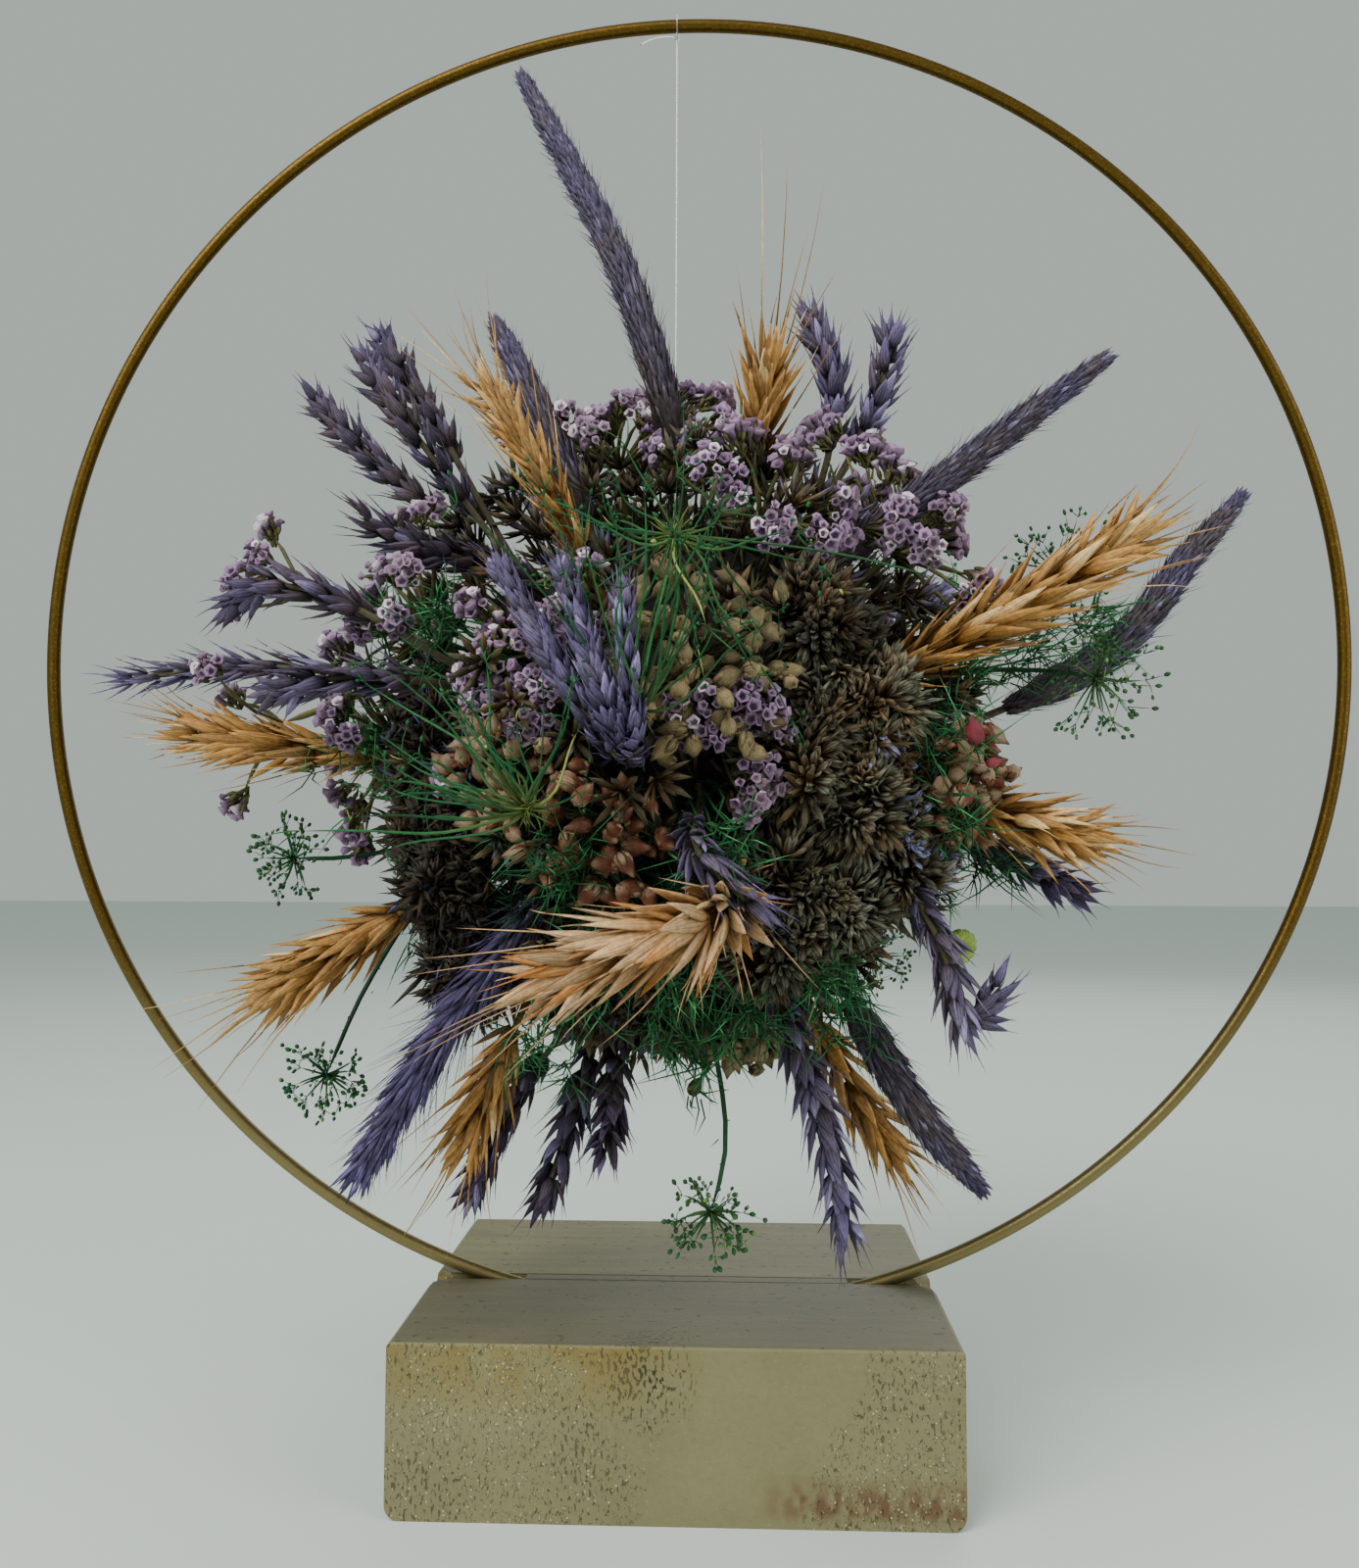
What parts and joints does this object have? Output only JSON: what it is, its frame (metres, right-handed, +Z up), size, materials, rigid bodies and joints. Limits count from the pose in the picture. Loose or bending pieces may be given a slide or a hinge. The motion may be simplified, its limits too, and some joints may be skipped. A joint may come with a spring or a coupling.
{
  "type": "hanging dried flower ball in a hoop",
  "caption": "Ball of dried flowers, grass ears and seed heads that hangs on a clear thread inside an upright gold wire hoop, set in the groove of a painted wooden block.",
  "frame": {"origin": "on the block's underside, in the plane of the hoop and below the hoop's centre", "axes": "+Z up, +Y from the front of the block to its back, square to the hoop's plane, +X to the viewer's right along the block's groove"},
  "size_m": [0.3, 0.2001, 0.327],
  "materials": {
    "block_paint": "satin gold-beige metallic paint over wood",
    "groove_paint": "dried glue under satin paint",
    "hoop_gold": "satin gold lacquer on steel wire",
    "thread_clear": "clear nylon line",
    "foam": "matte dry foam",
    "violet": "matte dyed foxtail grass",
    "purple": "matte dyed wheat ears",
    "orange": "matte dyed bearded ears",
    "straw": "matte pale straw",
    "lilac": "matte papery statice",
    "brown": "satin seed bolls",
    "grey": "matte dried flower heads",
    "green": "matte dyed dill",
    "lime": "matte mallow fruit"
  },
  "bodies": {
    "holder": {"block": "block_paint", "groove_filler": "groove_paint", "hoop": "hoop_gold"},
    "thread": {"thread": "thread_clear"},
    "flower_ball": {"foam_ball": "foam", "foxtail_tall": "violet", "foxtail_upper_right": "violet", "foxtail_right": "violet", "foxtail_upper_left": "violet", "foxtail_lower_right": "violet", "foxtail_lower_left": "violet", "foxtail_back": "violet", "wheat_front": "purple", "wheat_upper_left": "purple", "wheat_far_left": "purple", "wheat_left": "purple", "wheat_centre": "purple", "wheat_curled": "purple", "wheat_hanging": "purple", "wheat_low_left": "purple", "wheat_right": "purple", "wheat_top_right": "purple", "wheat_back": "purple", "barley_upper_left": "orange", "barley_top": "orange", "barley_right": "orange", "barley_right_low": "orange", "barley_front": "straw", "barley_far_low_left": "orange", "barley_left": "orange", "barley_low_left": "orange", "barley_low_right": "orange", "barley_back": "orange", "dill_upper": "green", "dill_left": "green", "dill_right": "green", "dill_hanging": "green", "dill_low_left": "green", "dill_back": "green", "statice_top": "lilac", "statice_upper": "lilac", "statice_left": "lilac", "statice_front": "lilac", "statice_centre": "lilac", "statice_right": "lilac", "statice_back_left": "lilac", "statice_back_right": "lilac", "flax_upper": "brown", "flax_left": "brown", "flax_bottom": "brown", "flax_right": "brown", "flax_back": "brown", "tuft_right": "grey", "tuft_left": "grey", "tuft_bottom": "grey", "tuft_lower_right": "grey", "tuft_back": "grey", "mallow_fruit": "lime", "dill_leaf_front": "green", "dill_leaf_back": "green"}
  },
  "joints": [
    {"name": "swing", "type": "hinge", "parent": "holder", "child": "thread", "pos_m": [-0.003, 0, 0.32447], "axis": [1, 0, 0], "range_deg": [-15, 15]},
    {"name": "turn", "type": "hinge", "parent": "thread", "child": "flower_ball", "pos_m": [-0.003, 0, 0.202], "axis": [0, 0, 1], "continuous": true}
  ]
}
